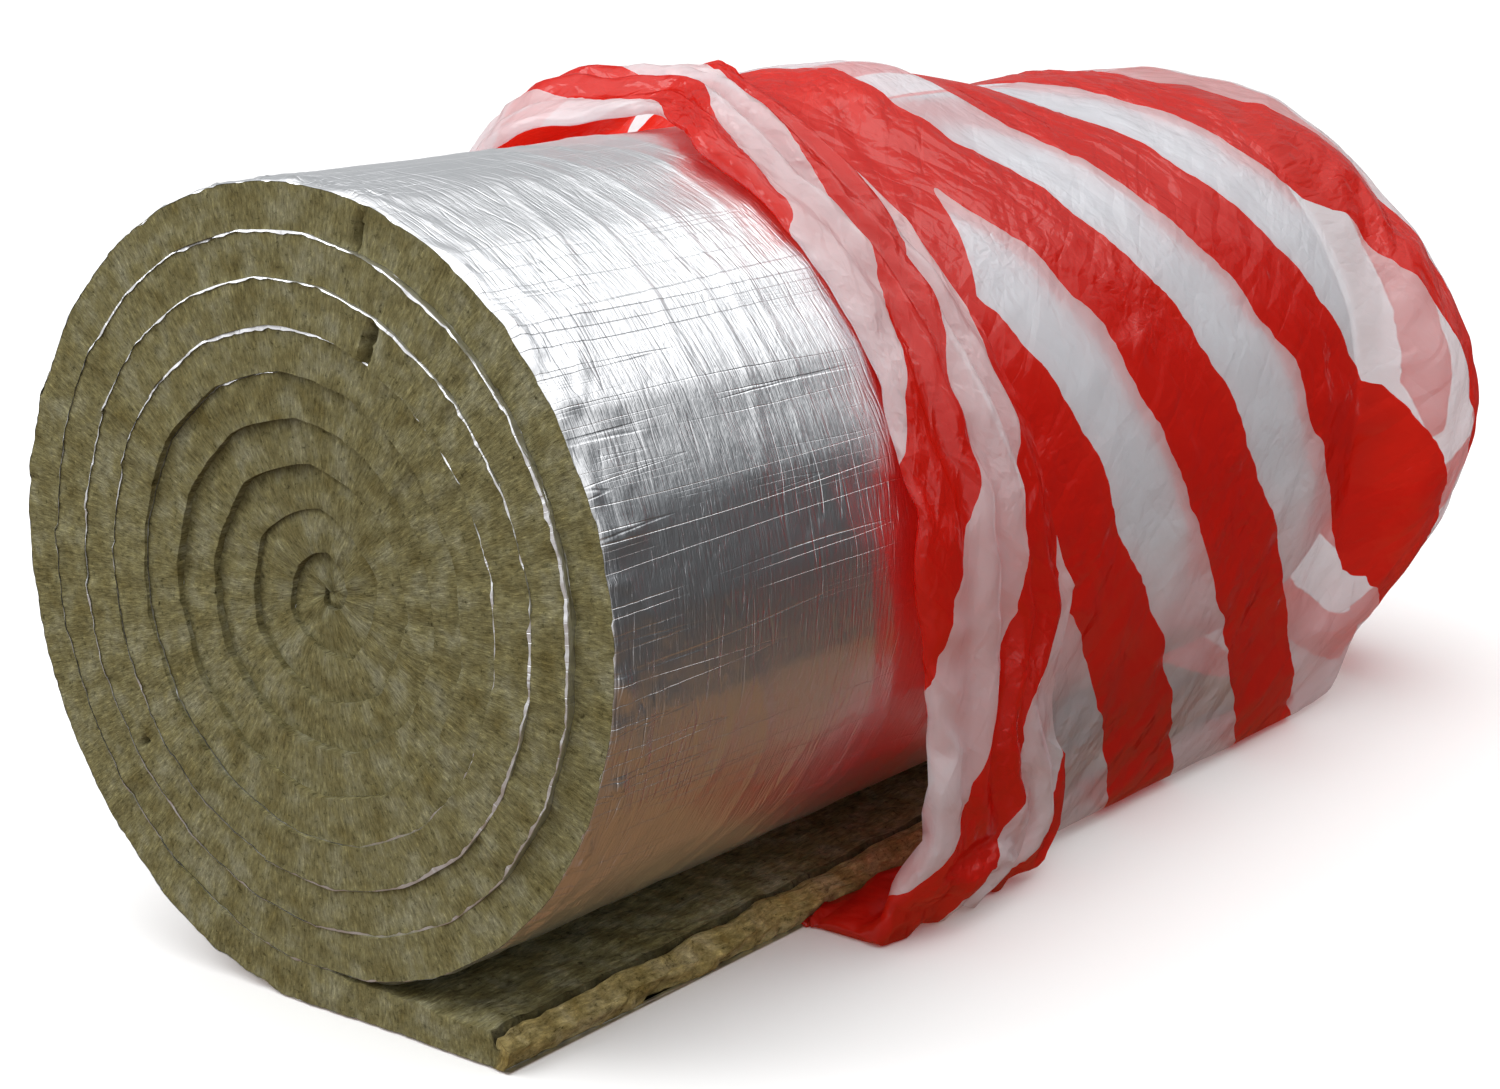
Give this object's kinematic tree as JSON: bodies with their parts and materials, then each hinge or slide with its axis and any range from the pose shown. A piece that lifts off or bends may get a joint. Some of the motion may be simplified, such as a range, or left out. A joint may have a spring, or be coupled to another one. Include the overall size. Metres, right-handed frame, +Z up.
{
  "type": "insulation roll",
  "caption": "Foil-faced mineral wool mat wound into a roll lying on its side, with a short unrolled tail and a film bag pushed back over its rear part.",
  "frame": {"origin": "bottom centre of the whole object's box, on the floor under the bag", "axes": "+Y along the roll's axis from the bare end to the bag's closed end, +X towards the unrolled tail, +Z up"},
  "size_m": [0.5966, 1.3402, 0.6149],
  "materials": {
    "wool": "olive-brown mineral wool, matt, fibres standing across the mat",
    "foil": "thin reinforced aluminium foil, bright, finely crinkled",
    "film": "thin translucent polyethylene film with broad red and white slanting stripes"
  },
  "bodies": {
    "root": {"wool_mat": "wool", "foil_facing": "foil", "film_bag": "film"}
  },
  "joints": []
}
